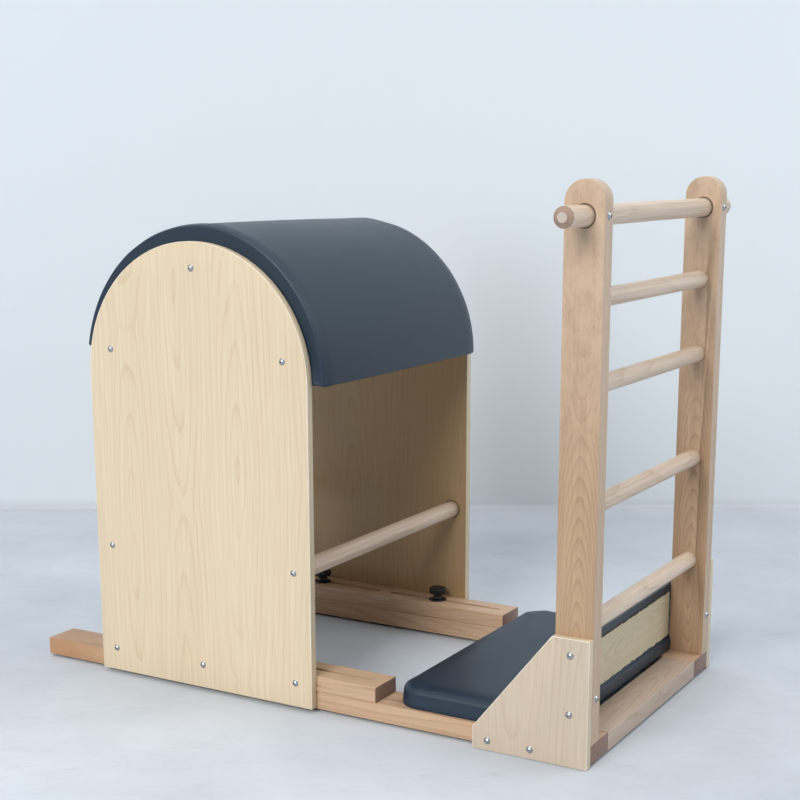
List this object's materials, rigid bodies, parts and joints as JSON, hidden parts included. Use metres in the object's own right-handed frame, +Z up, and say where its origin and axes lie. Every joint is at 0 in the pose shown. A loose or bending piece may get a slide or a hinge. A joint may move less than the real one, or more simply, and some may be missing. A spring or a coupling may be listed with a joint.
{
  "type": "pilates ladder barrel",
  "caption": "Padded plywood arch that slides along a wooden base and clamps with knobs, facing a ladder of wooden rungs with a foot pad and a kick board.",
  "frame": {"origin": "on the floor, under the middle of the object's outline seen from above", "axes": "+X along the base from the barrel to the ladder, +Y across the object, +Z up"},
  "size_m": [1.334, 0.837, 1.0665],
  "materials": {
    "beech": "clear satin lacquer on solid hardwood",
    "maple_board": "pale veneered board, satin lacquer",
    "birch": "bare plywood",
    "leather": "smooth satin upholstery leather",
    "foam": "dense upholstery foam, hidden by the covers",
    "screw_steel": "bright plated button-head screws",
    "zinc_steel": "zinc-plated threaded stud",
    "brass": "plain threaded inserts",
    "black_plastic": "moulded black plastic",
    "rubber_black": "soft black rubber"
  },
  "bodies": {
    "base": {"base_rail_near": "beech", "base_rail_far": "beech", "end_board": "beech", "end_board_pegs": "birch", "feet": "rubber_black", "rail_inserts": "brass", "post_near": "beech", "post_far": "beech", "rung_1": "beech", "rung_2": "beech", "rung_3": "beech", "rung_4": "beech", "top_bar": "beech", "top_bar_screws": "screw_steel", "gusset_near": "maple_board", "gusset_far": "maple_board", "gusset_screws_near": "screw_steel", "gusset_screws_far": "screw_steel", "foot_board": "birch", "foot_pad_foam": "foam", "foot_pad_cover": "leather", "foot_board_screws": "screw_steel", "kick_board": "birch", "kick_pad_foam": "foam", "kick_pad_cover": "leather", "kick_board_screws": "screw_steel"},
    "barrel": {"side_panel_near": "maple_board", "side_panel_far": "maple_board", "slotted_rail_near": "beech", "slotted_rail_far": "beech", "top_batten": "beech", "front_batten": "beech", "rear_batten": "beech", "front_dowel": "beech", "rear_dowel": "beech", "barrel_shell": "birch", "barrel_foam": "foam", "barrel_cover": "leather", "panel_screws_near": "screw_steel", "panel_screws_far": "screw_steel"},
    "washer_1": {"clamp_washer_1": "black_plastic"},
    "knob_1": {"clamp_knob_1": "black_plastic", "clamp_stud_1": "zinc_steel"},
    "washer_2": {"clamp_washer_2": "black_plastic"},
    "knob_2": {"clamp_knob_2": "black_plastic", "clamp_stud_2": "zinc_steel"},
    "washer_3": {"clamp_washer_3": "black_plastic"},
    "knob_3": {"clamp_knob_3": "black_plastic", "clamp_stud_3": "zinc_steel"},
    "washer_4": {"clamp_washer_4": "black_plastic"},
    "knob_4": {"clamp_knob_4": "black_plastic", "clamp_stud_4": "zinc_steel"}
  },
  "joints": [
    {"name": "barrel_slide", "type": "slide", "parent": "base", "child": "barrel", "axis": [1, 0, 0], "range_m": [-0.16, 0.03]},
    {"name": "clamp_lift_1", "type": "slide", "parent": "base", "child": "washer_1", "axis": [0, 0, 1], "range_m": [0, 0.0025]},
    {"name": "knob_turn_1", "type": "hinge", "parent": "washer_1", "child": "knob_1", "pos_m": [-0.32025, -0.2849, 0.0792], "axis": [0, 0, 1], "range_deg": [0, 722]},
    {"name": "clamp_lift_2", "type": "slide", "parent": "base", "child": "washer_2", "axis": [0, 0, 1], "range_m": [0, 0.0025]},
    {"name": "knob_turn_2", "type": "hinge", "parent": "washer_2", "child": "knob_2", "pos_m": [0.00675, -0.2849, 0.0792], "axis": [0, 0, 1], "range_deg": [0, 722]},
    {"name": "clamp_lift_3", "type": "slide", "parent": "base", "child": "washer_3", "axis": [0, 0, 1], "range_m": [0, 0.0025]},
    {"name": "knob_turn_3", "type": "hinge", "parent": "washer_3", "child": "knob_3", "pos_m": [-0.32025, 0.2849, 0.0792], "axis": [0, 0, 1], "range_deg": [0, 722]},
    {"name": "clamp_lift_4", "type": "slide", "parent": "base", "child": "washer_4", "axis": [0, 0, 1], "range_m": [0, 0.0025]},
    {"name": "knob_turn_4", "type": "hinge", "parent": "washer_4", "child": "knob_4", "pos_m": [0.00675, 0.2849, 0.0792], "axis": [0, 0, 1], "range_deg": [0, 722]}
  ],
  "couplings": [
    {"joint": "knob_turn_1", "follows": "clamp_lift_1", "rad_per_m": 5026.5},
    {"joint": "knob_turn_2", "follows": "clamp_lift_2", "rad_per_m": 5026.5},
    {"joint": "knob_turn_3", "follows": "clamp_lift_3", "rad_per_m": 5026.5},
    {"joint": "knob_turn_4", "follows": "clamp_lift_4", "rad_per_m": 5026.5}
  ]
}
